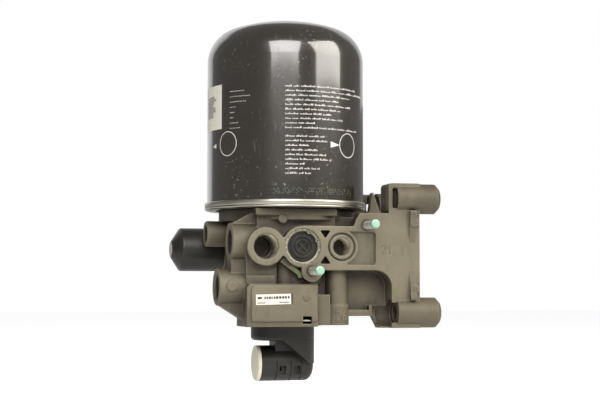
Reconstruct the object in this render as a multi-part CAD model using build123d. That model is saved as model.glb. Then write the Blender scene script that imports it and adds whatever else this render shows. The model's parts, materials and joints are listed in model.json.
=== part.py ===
from build123d import *
import math
import os

# Air dryer with a spin-on desiccant cartridge, in millimetres.
# The model is drawn about the cartridge axis: X to the right along the front face,
# Y to the back, Z up, with zero height at the seat under the cartridge.
# Every piece is moved at the end, so that the written parts have their origin midway
# between the two front chassis bolts, on the mounting face.

# Chassis fixing
MOUNT_X = 120.0
BOSS_Y = -52.0
BOSS_TOP_Z = 9.85
BOSS_SPACING = 96.0
REAR_BOSS_Y = 68.0
BOSS_R = 12.7
BOSS_LEFT_X = 81.5
REAR_BOSS_LEFT_X = 104.6
BOLT_HOLE_R = 6.5
SPOTFACE_R = 11.5
BOSS_CHAMFER = 3.2
BOSS_LOW_Z = BOSS_TOP_Z - BOSS_SPACING
ORIGIN_Z = (BOSS_TOP_Z + BOSS_LOW_Z) / 2

# Clearances
SLIP = 0.05
LOOSE = 0.3

# Cartridge shell
CAN_R = 67.5
CAN_TOP = 165.0
CAN_WALL = 1.2
SHOULDER_R = 30.0
CROWN_R = 145.0
SEAM_R = 69.7
SEAM_TOP = 9.4
SEAM_LIP_IN = 60.0
SEAM_LIP_LOW = 0.8
SEAM_ROUND = 1.8
BASE_LOW = 3.0
BASE_THICK = 3.5
BASE_TOP = BASE_LOW + BASE_THICK
COLLAR_R = 25.0
COLLAR_TOP = 15.0
INLET_HOLE_R = 5.0
INLET_CIRCLE_R = 38.0
INLET_HOLES = 8
GASKET_IN = 49.0
GASKET_OUT = 56.0

# Cartridge filling
CUP_R = 57.0
CUP_WALL = 1.5
CUP_FLOOR = 18.0
CUP_TOP = 124.0
BED_TOP = 112.0
SIEVE_THICK = 1.5
SIEVE_HOLE_R = 2.6
OUTLET_R = 12.0
FILTER_TOP = 44.0
BED_COIL_R = 26.0
BED_WIRE_R = 2.0
BED_COIL_TURNS = 3

# Housing seat, neck and drum
NECK_R = 57.5
NECK_H = 9.0
BAND_Y = -56.0
BAND_LEFT = -39.0
BAND_RIGHT = 30.0
BAND_H = 5.4
SPIGOT_R = 19.5
SPIGOT_TOP = 14.0
SPIGOT_BORE = 10.0
GROOVE_IN = 26.0
GROOVE_OUT = 46.0
GROOVE_DEPTH = 5.0
DRUM_R = 50.0
DRUM_LOW = -62.0
CONE_LOW = -78.0
FOOT_R = 35.0
FOOT_Z = -97.3

# Front face with its ports
FACE_Y = -60.0
CORE_Y = -50.0
PORT_Z = -31.5
LARGE_THREAD_R = 10.3
SMALL_THREAD_R = 7.3
FRONT_PORT_X = -31.3
FRONT_PORT_BOSS_R = 16.0
FRONT_PORT_DEPTH = 20.0
FRONT_DRILL_R = 8.5
FRONT_DRILL_DEPTH = 28.0
SIDE_PORT_X = 33.0
SIDE_PORT_DEPTH = 17.0
SEAL_GROOVE_OUT = 12.0
SEAL_GROOVE_IN = 10.2
SEAL_GROOVE_DEPTH = 1.6
WEB_HALF = 7.8

# Ports on the left side
LEFT_PORT_X = -58.0
LEFT_PORT_Y = -39.0
LEFT_PORT_Z = -27.3
LEFT_PORT_BOSS_R = 15.9
LEFT_PORT_DEPTH = 13.5
INLET_PORT_X = -68.0
INLET_PORT_Y = -35.0
INLET_PORT_Z = -64.8
INLET_PORT_BOSS_R = 15.3
INLET_PORT_DEPTH = 20.0
INLET_CHAMFER = 1.6
PILOT_PORT_X = -70.0
PILOT_PORT_Y = 1.5
PILOT_PORT_Z = -19.4
PILOT_PORT_BOSS_R = 11.0
PILOT_PORT_DEPTH = 14.0
PORT_RIM = 0.8

# Plate, slab and arms on the right side
PLATE_TOP = -14.2
PLATE_LOW = -50.8
PLATE_BACK = -49.0
SLAB_LEFT = 74.2
SLAB_RIGHT = 101.5
SLAB_BACK = -39.0
SLAB_SHOULDER = -3.0
EAR_WALL = 3.4
LEG_LEFT = 76.7
ARCH_R = 14.0
CORNER_R = 3.3
WALL_FRONT = -42.0
WALL_BACK = -33.0
RIB_FRONT = -50.0
RIB_LOW = -88.9
RIB_H = 4.9
SHELF_TOP = -6.0
SHELF_LOW = -15.0

# Threaded studs in the front face
STUD_R = 4.0
STUD_CORE_R = 3.4
STUD_OUT = 25.0
STUD_IN = 10.0
STUD_CHAMFER = 1.0
STUD_SINK = 1.0
UPPER_STUD_X = 54.8
UPPER_STUD_Z = -13.2
UPPER_LOBE_R = 10.2
LOWER_STUD_X = 7.6
LOWER_STUD_Z = -51.5
LOWER_LOBE_R = 9.0

# Lower front block and bottom port pillar
BLOCK_LEFT = -47.0
BLOCK_RIGHT = 12.8
BLOCK_TOP = -62.5
BLOCK_FRONT = -58.8
PANEL_LEFT = -43.3
PANEL_LOW = -92.8
PANEL_R = 4.0
PILLAR_X = 32.2
PILLAR_Y = -45.0
PILLAR_R = 9.6
PILLAR_FOOT_R = 10.8
PILLAR_STEP_Z = -79.0
PILLAR_LOW = -96.3
PILLAR_PORT_R = 6.3
PILLAR_PORT_DEPTH = 14.0
SLOT_LEFT = -0.3
SLOT_RIGHT = 7.4
SLOT_TOP = -88.8
SLOT_LOW = -95.0

# Check valve
CHECK_BOSS_R = 17.5
CHECK_BORE_R = 15.0
CHECK_SEAT_Y = -24.0
CHECK_SEAT_R = 8.5
RING_GROOVE_R = 16.0
RING_FRONT = -59.1
RING_THICK = 1.3
RING_IN = 13.6
RING_GAP_MID = 45.0
RING_GAP = 32.0
COVER_THICK = 5.0
GUIDE_R = 6.0
GUIDE_LENGTH = 14.0
CHECK_STEM_R = 3.0
CHECK_DISC_R = 12.0
CHECK_DISC_H = 3.0
CHECK_TRAVEL = 3.0
CHECK_WIRE_R = 0.7
CHECK_COIL_R = 8.6
CHECK_TURNS = 5

# Governor
GOV_Y = 34.0
GOV_Z = -32.0
GOV_BARREL_R = 19.6
GOV_BARREL_X = -50.0
GOV_NOSE_R = 16.3
GOV_NOSE_X = -58.0
GOV_BORE_R = 12.0
GOV_BORE_END = -24.0
GOV_FEED_R = 2.5
GOV_FEED_END = -12.0
CAP_R = 18.7
CAP_WALL = 2.2
CAP_TIP_X = -94.0
CAP_CONE = 7.5
CAP_TIP_R = 7.4
SCREW_R = 4.0
GOV_PISTON_H = 12.0
GOV_PISTON_GAP = 3.0
GOV_TRAVEL = 2.0
GOV_COIL_R = 8.6
GOV_WIRE_R = 1.5
GOV_TURNS = 5
GOV_SEAT_R = 11.5
GOV_SEAT_H = 2.5
GOV_SPRING_L = 32.0

# Purge valve and exhaust unit
EXHAUST_X = -2.4
EXHAUST_R = 27.2
EXHAUST_SPIGOT_R = 21.8
EXHAUST_BORE_R = 22.0
EXHAUST_CHAMBER_R = 16.0
EXHAUST_FLOOR = -106.0
SHOULDER_Z = -110.0
SUMP_R = 19.0
SUMP_TOP = -60.0
PURGE_SEAT_TOP = -72.0
PURGE_SEAT_H = 5.0
PURGE_SEAT_R = 9.0
PURGE_BORE_R = 11.0
PURGE_BORE_TOP = -46.0
PURGE_PISTON_TOP = -50.0
PURGE_PISTON_H = 7.0
PURGE_STEM_R = 3.0
PURGE_DISC_R = 12.0
PURGE_DISC_H = 3.0
PURGE_TRAVEL = 3.0
PURGE_COIL_R = 7.0
PURGE_WIRE_R = 1.0
PURGE_TURNS = 5
SOCKET_Z = -129.6
SOCKET_R = 15.2
SOCKET_BORE_R = 12.4
SOCKET_LEFT = -24.0
SOCKET_RIGHT = 22.5
SOCKET_DEPTH = 18.0
PLUG_FACE = 3.0
PLUG_CROWN = 1.2
PLUG_SPIGOT = 9.0
PIN_R = 1.2
PIN_LENGTH = 8.0
PIN_PITCH = 8.0
HEATER_R = 3.5
HEATER_X = 9.5
HEATER_LOW = -118.0
HEATER_TOP = -96.0
LOCK_Z = -92.0
LOCK_WIRE_R = 0.9


# Shapes that repeat

def rod(radius, start, end):
    """Round bar between two points."""
    first = Vector(*start)
    run = Vector(*end) - first
    return extrude(Plane(origin=first, z_dir=run) * Circle(radius), amount=run.length)


def tube(outer, inner, start, end):
    """Round tube between two points."""
    return rod(outer, start, end) - rod(inner, start, end)


def bar_x(radius, x_from, x_to, y, z):
    """Round bar along X."""
    return rod(radius, (x_from, y, z), (x_to, y, z))


def bar_y(radius, x, y_from, y_to, z):
    """Round bar along Y."""
    return rod(radius, (x, y_from, z), (x, y_to, z))


def bar_z(radius, x, y, z_from, z_to):
    """Round bar along Z."""
    return rod(radius, (x, y, z_from), (x, y, z_to))


def block(x_low, x_high, y_low, y_high, z_low, z_high):
    """Square block between two corners."""
    size = (x_high - x_low, y_high - y_low, z_high - z_low)
    middle = ((x_low + x_high) / 2, (y_low + y_high) / 2, (z_low + z_high) / 2)
    return Pos(*middle) * Box(*size)


def rounded_face(points, rounds):
    """Flat face with the numbered corners rounded."""
    face = make_face(Polyline(*points, close=True))
    for number, radius in rounds.items():
        corner = points[number]
        nearest = face.vertices().sort_by_distance((corner[0], corner[1], 0))[0]
        face = fillet(nearest, radius)
    return face


def front_plate(points, front, back, rounds={}):
    """Plate drawn in X and Z and given depth in Y."""
    face = rounded_face(points, rounds)
    plane = Plane(origin=(0, back, 0), x_dir=(1, 0, 0), z_dir=(0, -1, 0))
    return extrude(plane * face, amount=back - front)


def plan_plate(points, low, high, rounds={}):
    """Plate drawn in X and Y and given height in Z."""
    face = rounded_face(points, rounds)
    return extrude(Pos(0, 0, low) * face, amount=high - low)


def turned(points, x=0.0):
    """Solid turned about a vertical line, from radius and height points."""
    profile = make_face(Plane.XZ * Polyline(*points, close=True))
    return Pos(x, 0, 0) * revolve(profile, Axis.Z)


def ring(outer, inner, low, high, x=0.0):
    """Flat ring about a vertical line."""
    return tube(outer, inner, (x, 0, low), (x, 0, high))


def coil(mean_r, wire_r, length, turns):
    """Compression spring standing on the origin, between flat ends."""
    pitch = (length - 2 * wire_r) / turns
    path = Helix(pitch=pitch, height=pitch * turns, radius=mean_r)
    start = Plane(origin=path @ 0, z_dir=path % 0)
    wire = sweep(start * Circle(wire_r), path=path, is_frenet=True)
    return Pos(0, 0, wire_r) * wire


def to_minus_y(shape, x, y, z):
    """Turn a shape that stands along +Z so that it lies along -Y."""
    return Pos(x, y, z) * Rot(90, 0, 0) * shape


def to_minus_x(shape, x, y, z):
    """Turn a shape that stands along +Z so that it lies along -X."""
    return Pos(x, y, z) * Rot(0, -90, 0) * shape


# Cartridge

def domed_body(offset, low):
    """Solid inside the cartridge shell, with the given inward offset."""
    radius = CAN_R - offset
    shoulder = SHOULDER_R - offset
    crown = CROWN_R - offset
    centre_r = CAN_R - SHOULDER_R
    crown_z = CAN_TOP - CROWN_R
    centre_z = crown_z + math.sqrt((CROWN_R - SHOULDER_R) ** 2 - centre_r ** 2)
    lean = math.atan2(centre_r, centre_z - crown_z)
    half = (math.pi / 2 + lean) / 2
    side_top = (radius, centre_z)
    shoulder_mid = (centre_r + shoulder * math.sin(half), centre_z + shoulder * math.cos(half))
    shoulder_top = (crown * math.sin(lean), crown_z + crown * math.cos(lean))
    crown_mid = (crown * math.sin(lean / 2), crown_z + crown * math.cos(lean / 2))
    apex = (0, crown_z + crown)
    outline = Line((0, low), (radius, low))
    outline += Line((radius, low), side_top)
    outline += ThreePointArc(side_top, shoulder_mid, shoulder_top)
    outline += ThreePointArc(shoulder_top, crown_mid, apex)
    outline += Line(apex, (0, low))
    return revolve(Plane.XZ * make_face(outline), Axis.Z)


def canister():
    return domed_body(0, BASE_TOP) - domed_body(CAN_WALL, BASE_TOP - CAN_WALL)


def seam_ring():
    inner = CAN_R + SLIP
    band = ring(SEAM_R, inner, BASE_LOW, SEAM_TOP)
    lip = ring(SEAM_R, SEAM_LIP_IN, SEAM_LIP_LOW, BASE_LOW)
    rolled = band + lip
    outside = rolled.edges().filter_by(GeomType.CIRCLE).filter_by(lambda e: abs(e.radius - SEAM_R) < 0.01)
    low_edge = outside.sort_by(Axis.Z)[0]
    return fillet(low_edge, SEAM_ROUND)


def base_plate():
    disc = ring(CAN_R, SPIGOT_R + SLIP, BASE_LOW, BASE_TOP)
    collar = ring(COLLAR_R, SPIGOT_R + SLIP, BASE_TOP, COLLAR_TOP)
    holes = [
        bar_z(INLET_HOLE_R, p.X, p.Y, BASE_LOW - 1, BASE_TOP + 1)
        for p in (loc.position for loc in PolarLocations(INLET_CIRCLE_R, INLET_HOLES))
    ]
    return disc + collar - holes


def cartridge_gasket():
    return ring(GASKET_OUT, GASKET_IN, 0, BASE_LOW)


def desiccant_cup():
    wall = ring(CUP_R, CUP_R - CUP_WALL, CUP_FLOOR, CUP_TOP)
    floor = ring(CUP_R, OUTLET_R, CUP_FLOOR, CUP_FLOOR + CUP_WALL)
    foot = ring(COLLAR_R, SPIGOT_R + SLIP, COLLAR_TOP, CUP_FLOOR)
    return wall + floor + foot


def sieve(low):
    disc = bar_z(CUP_R - CUP_WALL - SLIP, 0, 0, low, low + SIEVE_THICK)
    holes = []
    for circle_r, count in ((16.0, 6), (32.0, 10), (47.0, 14)):
        for loc in PolarLocations(circle_r, count):
            holes.append(bar_z(SIEVE_HOLE_R, loc.position.X, loc.position.Y, low - 1, low + SIEVE_THICK + 1))
    return disc - holes


SIEVE_LOW = CUP_FLOOR + CUP_WALL


def lower_sieve():
    return sieve(SIEVE_LOW)


def desiccant_bed():
    return bar_z(CUP_R - CUP_WALL - LOOSE, 0, 0, SIEVE_LOW + SIEVE_THICK, BED_TOP)


def upper_sieve():
    return sieve(BED_TOP)


def bed_spring():
    low = BED_TOP + SIEVE_THICK
    edge_drop = CROWN_R - math.sqrt(CROWN_R ** 2 - (BED_COIL_R + BED_WIRE_R) ** 2)
    high = CAN_TOP - CAN_WALL - edge_drop - LOOSE
    return Pos(0, 0, low) * coil(BED_COIL_R, BED_WIRE_R, high - low, BED_COIL_TURNS)


def oil_filter_ring():
    return ring(CAN_R - CAN_WALL - LOOSE, CUP_R + LOOSE, BASE_TOP, FILTER_TOP)


def spigot_seal():
    return ring(SPIGOT_R - SLIP, SPIGOT_BORE + 4, SPIGOT_TOP, CUP_FLOOR)


# Housing

def neck_and_drum():
    neck = bar_z(NECK_R, 0, 0, -NECK_H, 0)
    band = block(BAND_LEFT, BAND_RIGHT, BAND_Y, 0, -BAND_H, 0)
    drum = turned([(0, -NECK_H), (DRUM_R, -NECK_H), (DRUM_R, DRUM_LOW), (FOOT_R, CONE_LOW), (0, CONE_LOW)])
    foot = bar_z(FOOT_R, EXHAUST_X, 0, FOOT_Z, CONE_LOW)
    spigot = bar_z(SPIGOT_R, 0, 0, 0, SPIGOT_TOP)
    return neck + band + drum + foot + spigot


def front_core():
    top = block(BAND_LEFT + 2, BAND_RIGHT, CORE_Y, 0, PORT_Z - 8, -BAND_H)
    left = block(BLOCK_LEFT + 1, -20, CORE_Y + 1, 0, BLOCK_TOP, PORT_Z)
    low = block(-20, BAND_RIGHT, CORE_Y + 7, 0, BLOCK_TOP, PORT_Z)
    column = bar_z(12.5, -10.4, CORE_Y + 12.5, BLOCK_TOP - 2, PORT_Z)
    pin = bar_y(4.0, -15.2, CORE_Y - 3, CORE_Y + 2, -8.6)
    ledge = block(BLOCK_LEFT + 1, -22, CORE_Y - 1.5, CORE_Y + 2, BLOCK_TOP, BLOCK_TOP + 7)
    return top + left + low + column + pin + ledge


def port_boss_x(radius, x_from, x_to, y, z):
    """Round boss along X with a broken rim at its open end."""
    boss = bar_x(radius, x_from, x_to, y, z)
    return chamfer(boss.edges().filter_by(GeomType.CIRCLE).sort_by(Axis.X)[0], PORT_RIM)


def port_boss_y(radius, x, y_to, z):
    """Round boss from the front face, with a broken rim."""
    boss = bar_y(radius, x, FACE_Y, y_to, z)
    return chamfer(boss.edges().filter_by(GeomType.CIRCLE).sort_by(Axis.Y)[0], PORT_RIM)


def port_bosses():
    bosses = port_boss_y(FRONT_PORT_BOSS_R, FRONT_PORT_X, CORE_Y + 15, PORT_Z)
    bosses += port_boss_y(CHECK_BOSS_R, 0, CORE_Y + 15, PORT_Z)
    bosses += block(FRONT_PORT_X, 0, FACE_Y, CORE_Y + 2, PORT_Z - WEB_HALF, PORT_Z + WEB_HALF)
    bosses += port_boss_x(LEFT_PORT_BOSS_R, LEFT_PORT_X, -35, LEFT_PORT_Y, LEFT_PORT_Z)
    bosses += port_boss_x(INLET_PORT_BOSS_R, INLET_PORT_X, -34, INLET_PORT_Y, INLET_PORT_Z)
    bosses += port_boss_x(PILOT_PORT_BOSS_R, PILOT_PORT_X, -44, PILOT_PORT_Y, PILOT_PORT_Z)
    bosses += port_boss_x(GOV_BARREL_R, GOV_BARREL_X, -20, GOV_Y, GOV_Z)
    bosses += bar_x(GOV_NOSE_R, GOV_NOSE_X, GOV_BARREL_X, GOV_Y, GOV_Z)
    return bosses


def left_webs():
    column = block(LEFT_PORT_X + 0.6, -36, -45, -27, INLET_PORT_Z, LEFT_PORT_Z)
    top = front_plate([(-40, -3.2), (-36, -3.2), (-36, -20), (-56.8, -20), (-56.8, -12.1)], -45, -28)
    low = front_plate(
        [(-66.3, -79.2), (-46, -92.2), (-46, FOOT_Z), (-30, FOOT_Z), (-30, -64), (-66.3, -68)], -42, -28)
    pad = bar_y(4.4, -57.5, INLET_PORT_Y - INLET_PORT_BOSS_R - 0.8, INLET_PORT_Y - 12, INLET_PORT_Z + 1)
    return column + top + low + pad


def right_plate():
    plate = front_plate(
        [(0, PLATE_TOP), (43.5, PLATE_TOP), (49, SLAB_SHOULDER), (80, SLAB_SHOULDER), (80, PLATE_LOW),
         (0, PLATE_LOW)], FACE_Y, PLATE_BACK)
    slab = front_plate(
        [(60, SLAB_SHOULDER), (SLAB_LEFT, SLAB_SHOULDER), (SLAB_LEFT, BOSS_TOP_Z + BOSS_R),
         (SLAB_RIGHT, BOSS_TOP_Z + BOSS_R), (SLAB_RIGHT, BOSS_LOW_Z - BOSS_R),
         (LEG_LEFT, BOSS_LOW_Z - BOSS_R), (LEG_LEFT, PLATE_LOW), (60, PLATE_LOW)],
        FACE_Y, SLAB_BACK, {2: CORNER_R, 6: ARCH_R})
    lobes = bar_y(UPPER_LOBE_R, UPPER_STUD_X, FACE_Y, PLATE_BACK, UPPER_STUD_Z)
    lobes += bar_y(LOWER_LOBE_R, LOWER_STUD_X, FACE_Y, CORE_Y + 9, LOWER_STUD_Z)
    behind = block(14, 62, PLATE_BACK, WALL_BACK, PLATE_LOW + 2, PLATE_TOP - 2)
    return plate + slab + lobes + behind


def boss_with_chamfer(x_from, y, z):
    boss = bar_x(BOSS_R, x_from, MOUNT_X, y, z)
    return chamfer(boss.edges().filter_by(GeomType.CIRCLE).sort_by(Axis.X)[-1], BOSS_CHAMFER)


def taper_rib(z_base, z_tip):
    """Wedge that runs out on the slab, with its pad."""
    points = [(FACE_Y + 2, z_base), (FACE_Y - 3.4, z_base), (FACE_Y + 0.2, z_tip), (FACE_Y + 2, z_tip)]
    side = make_face(Polyline(*points, close=True))
    plane = Plane(origin=(92.4, 0, 0), x_dir=(0, 1, 0), z_dir=(1, 0, 0))
    wedge = extrude(plane * side, amount=5.6)
    pad_z = z_base + (z_tip - z_base) * 0.34
    return wedge + bar_y(3.9, 96.2, FACE_Y - 2.6, FACE_Y + 2, pad_z)


def chassis_arms():
    arms = boss_with_chamfer(BOSS_LEFT_X, BOSS_Y, BOSS_TOP_Z)
    arms += boss_with_chamfer(BOSS_LEFT_X, BOSS_Y, BOSS_LOW_Z)
    arms += taper_rib(BOSS_TOP_Z - BOSS_R + 2, BOSS_TOP_Z - BOSS_R - 27)
    arms += taper_rib(BOSS_LOW_Z + BOSS_R - 2, BOSS_LOW_Z + BOSS_R + 25)
    wall = block(30, 82, WALL_FRONT, WALL_BACK, RIB_LOW, PLATE_TOP - 2)
    rib = block(30, 82, RIB_FRONT, WALL_BACK, RIB_LOW, RIB_LOW + RIB_H)
    tongue = front_plate(
        [(60, -80), (84, -80), (84, BOSS_LOW_Z - BOSS_R), (68.8, BOSS_LOW_Z - BOSS_R), (63.8, RIB_LOW),
         (60, RIB_LOW)], RIB_FRONT, SLAB_BACK)
    return arms + wall + rib + tongue


def rear_arm():
    shelf = plan_plate(
        [(20, -45), (98, -45), (98, -38), (72, -14), (72, 26), (104, 56), (112, 56), (112, 80), (74, 80),
         (8, 50)], SHELF_LOW, SHELF_TOP, {3: 12, 4: 12})
    shelf += block(88, 98, -50, -38, SHELF_LOW - 12, SHELF_TOP)
    boss = boss_with_chamfer(REAR_BOSS_LEFT_X, REAR_BOSS_Y, BOSS_TOP_Z)
    upright = block(104.6, 111, REAR_BOSS_Y - 11, REAR_BOSS_Y + 11, SHELF_LOW, BOSS_TOP_Z)
    wall = front_plate(
        [(60, SHELF_LOW), (108, SHELF_LOW), (108, BOSS_TOP_Z + BOSS_R - 0.6), (88, BOSS_TOP_Z + BOSS_R - 0.6),
         (62, SHELF_TOP)], REAR_BOSS_Y + 5, REAR_BOSS_Y + 11)
    brace = front_plate(
        [(96, SHELF_TOP - 2), (100.5, SHELF_TOP - 2), (106, BOSS_TOP_Z + 6), (102, BOSS_TOP_Z + 6)],
        REAR_BOSS_Y - 5, REAR_BOSS_Y + 6)
    keel = front_plate(
        [(20, SHELF_LOW - 26), (34, SHELF_LOW - 26), (100, SHELF_LOW - 4), (108, SHELF_LOW + 2),
         (20, SHELF_LOW + 2)], REAR_BOSS_Y - 26, REAR_BOSS_Y - 19)
    return shelf + boss + upright + wall + brace + keel


def lower_block():
    body = front_plate(
        [(BLOCK_LEFT, FOOT_Z), (BLOCK_LEFT, BLOCK_TOP), (BLOCK_RIGHT, BLOCK_TOP), (BLOCK_RIGHT, FOOT_Z)],
        BLOCK_FRONT, -20, {1: PANEL_R})
    panel = front_plate(
        [(PANEL_LEFT, PANEL_LOW), (PANEL_LEFT, BLOCK_TOP - 1), (BLOCK_RIGHT - 1, BLOCK_TOP - 1),
         (BLOCK_RIGHT - 1, PANEL_LOW)], FACE_Y, BLOCK_FRONT + 2, {0: 2, 1: PANEL_R, 2: 2, 3: 2})
    step = block(BLOCK_RIGHT, PILLAR_X - PILLAR_R + 2, -54, -30, FOOT_Z + 1, -71)
    pillar = bar_z(PILLAR_R, PILLAR_X, PILLAR_Y, PILLAR_STEP_Z, PLATE_LOW + 4)
    foot = bar_z(PILLAR_FOOT_R, PILLAR_X, PILLAR_Y, PILLAR_LOW, PILLAR_STEP_Z)
    foot = chamfer(foot.edges().filter_by(GeomType.CIRCLE).sort_by(Axis.Z)[-1], 1.1)
    back = block(8, PILLAR_X, PILLAR_Y, -24, FOOT_Z + 1, PLATE_LOW)
    return body + panel + step + pillar + foot + back


def port_cut_x(radius, x_mouth, depth, y, z, mouth):
    """Threaded hole into +X with a chamfered mouth and a drill point."""
    hole = bar_x(radius, x_mouth, x_mouth + depth, y, z)
    lead = Pos(x_mouth, y, z) * Rot(0, 90, 0) * Pos(0, 0, mouth / 2) * Cone(radius + mouth, radius, mouth)
    return hole + lead


def port_cut_y(radius, x, depth, z, mouth):
    """Threaded hole into +Y from the front face, with a chamfered mouth."""
    hole = bar_y(radius, x, FACE_Y, FACE_Y + depth, z)
    lead = Pos(x, FACE_Y, z) * Rot(-90, 0, 0) * Pos(0, 0, mouth / 2) * Cone(radius + mouth, radius, mouth)
    return hole + lead


def seal_groove():
    """Ring groove in the front face round the small port."""
    back = FACE_Y + SEAL_GROOVE_DEPTH
    return tube(SEAL_GROOVE_OUT, SEAL_GROOVE_IN, (SIDE_PORT_X, FACE_Y, PORT_Z), (SIDE_PORT_X, back, PORT_Z))


def front_cuts():
    cuts = port_cut_y(LARGE_THREAD_R, FRONT_PORT_X, FRONT_PORT_DEPTH, PORT_Z, 0.9)
    cuts += bar_y(FRONT_DRILL_R, FRONT_PORT_X, FACE_Y, FACE_Y + FRONT_DRILL_DEPTH, PORT_Z)
    cuts += port_cut_y(SMALL_THREAD_R, SIDE_PORT_X, SIDE_PORT_DEPTH, PORT_Z, 0.5)
    cuts += seal_groove()
    cuts += bar_y(CHECK_BORE_R, 0, FACE_Y, CHECK_SEAT_Y, PORT_Z)
    cuts += bar_y(CHECK_SEAT_R, 0, CHECK_SEAT_Y, 0, PORT_Z)
    cuts += bar_y(RING_GROOVE_R, 0, RING_FRONT, RING_FRONT + RING_THICK + SLIP, PORT_Z)
    for x, z in ((UPPER_STUD_X, UPPER_STUD_Z), (LOWER_STUD_X, LOWER_STUD_Z)):
        cuts += port_cut_y(STUD_CORE_R + SLIP, x, STUD_IN, z, STUD_SINK)
    pocket = front_plate(
        [(38, PORT_Z - 15), (62.6, PORT_Z - 15), (62.6, PLATE_TOP - 4.4), (38, PLATE_TOP - 4.4)],
        FACE_Y, FACE_Y + 1.6, {1: 3, 2: 3})
    cuts += pocket - bar_y(14.2, SIDE_PORT_X, FACE_Y, FACE_Y + 2, PORT_Z)
    upper = [(14.1, -17.9), (23.7, -17.9), (18.9, -24.6)]
    lower = [(18.9, -38.6), (23.7, -45.6), (14.1, -45.6)]
    for corners in (upper, lower):
        cuts += front_plate(corners, FACE_Y, FACE_Y + 9, {0: 0.8, 1: 0.8, 2: 0.8})
    return cuts


def side_cuts():
    cuts = port_cut_x(LARGE_THREAD_R, LEFT_PORT_X, LEFT_PORT_DEPTH, LEFT_PORT_Y, LEFT_PORT_Z, 0.9)
    cuts += port_cut_x(
        LARGE_THREAD_R, INLET_PORT_X, INLET_PORT_DEPTH, INLET_PORT_Y, INLET_PORT_Z, INLET_CHAMFER)
    cuts += port_cut_x(SMALL_THREAD_R, PILOT_PORT_X, PILOT_PORT_DEPTH, PILOT_PORT_Y, PILOT_PORT_Z, 0.6)
    cuts += bar_x(GOV_BORE_R, GOV_NOSE_X, GOV_BORE_END, GOV_Y, GOV_Z)
    cuts += bar_x(GOV_FEED_R, GOV_BORE_END, GOV_FEED_END, GOV_Y, GOV_Z)
    for y, z in ((BOSS_Y, BOSS_TOP_Z), (BOSS_Y, BOSS_LOW_Z), (REAR_BOSS_Y, BOSS_TOP_Z)):
        cuts += bar_x(BOLT_HOLE_R, SLAB_LEFT - 12, MOUNT_X, y, z)
    cuts += bar_x(SPOTFACE_R, SLAB_LEFT + EAR_WALL, BOSS_LEFT_X, BOSS_Y, BOSS_TOP_Z)
    cuts += bar_x(SPOTFACE_R, SLAB_LEFT - 8, BOSS_LEFT_X, BOSS_Y, BOSS_LOW_Z)
    cuts += bar_x(SPOTFACE_R, SLAB_RIGHT - 4, REAR_BOSS_LEFT_X, REAR_BOSS_Y, BOSS_TOP_Z)
    return cuts


def centre_cuts():
    cuts = bar_z(SPIGOT_BORE, 0, 0, PORT_Z - CHECK_SEAT_R, SPIGOT_TOP)
    cuts += ring(GROOVE_OUT, GROOVE_IN, -GROOVE_DEPTH, 0)
    cuts += bar_z(EXHAUST_BORE_R, EXHAUST_X, 0, FOOT_Z, PURGE_SEAT_TOP)
    cuts += bar_z(SUMP_R, EXHAUST_X, 0, PURGE_SEAT_TOP, SUMP_TOP)
    cuts += bar_z(PURGE_BORE_R, EXHAUST_X, 0, SUMP_TOP, PURGE_BORE_TOP)
    cuts += ring(EXHAUST_BORE_R + 1.2, EXHAUST_BORE_R - 1, LOCK_Z - 1.1, LOCK_Z + 1.1, EXHAUST_X)
    cuts += block(SLOT_LEFT, SLOT_RIGHT, FACE_Y - 1, -15, SLOT_LOW, SLOT_TOP)
    cuts += bar_z(PILLAR_PORT_R, PILLAR_X, PILLAR_Y, PILLAR_LOW, PILLAR_LOW + PILLAR_PORT_DEPTH)
    return cuts


def housing():
    """The one casting that carries everything."""
    casting = neck_and_drum()
    casting += front_core()
    casting += port_bosses()
    casting += left_webs()
    casting += right_plate()
    casting += chassis_arms()
    casting += rear_arm()
    casting += lower_block()
    casting -= front_cuts()
    casting -= side_cuts()
    casting -= centre_cuts()
    return casting


# Studs

def stud(x, z):
    bar = bar_y(STUD_R, x, FACE_Y - STUD_OUT, FACE_Y, z)
    bar = chamfer(bar.edges().filter_by(GeomType.CIRCLE).sort_by(Axis.Y)[0], STUD_CHAMFER)
    return bar + bar_y(STUD_CORE_R, x, FACE_Y, FACE_Y + STUD_IN - LOOSE, z)


# Check valve

COVER_FRONT = RING_FRONT + RING_THICK + SLIP
COVER_BACK = COVER_FRONT + COVER_THICK
POPPET_BACK = CHECK_SEAT_Y - CHECK_DISC_H


def snap_ring():
    flat = Circle(RING_GROOVE_R - 0.3) - Circle(RING_IN)
    reach = RING_GROOVE_R + 4
    half = math.radians(RING_GAP / 2)
    middle = math.radians(RING_GAP_MID)
    wedge = make_face(Polyline(
        (0, 0), (reach * math.cos(middle - half), reach * math.sin(middle - half)),
        (reach * math.cos(middle + half), reach * math.sin(middle + half)), close=True))
    flat -= wedge
    for side in (-1, 1):
        angle = middle + side * (half + 0.10)
        spot = ((RING_IN - 0.2) * math.cos(angle), (RING_IN - 0.2) * math.sin(angle))
        flat += Pos(*spot) * Circle(1.7)
        flat -= Pos(*spot) * Circle(0.7)
    flat -= wedge
    plane = Plane(origin=(0, COVER_FRONT - SLIP, PORT_Z), x_dir=(1, 0, 0), z_dir=(0, -1, 0))
    return extrude(plane * flat, amount=RING_THICK)


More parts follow.
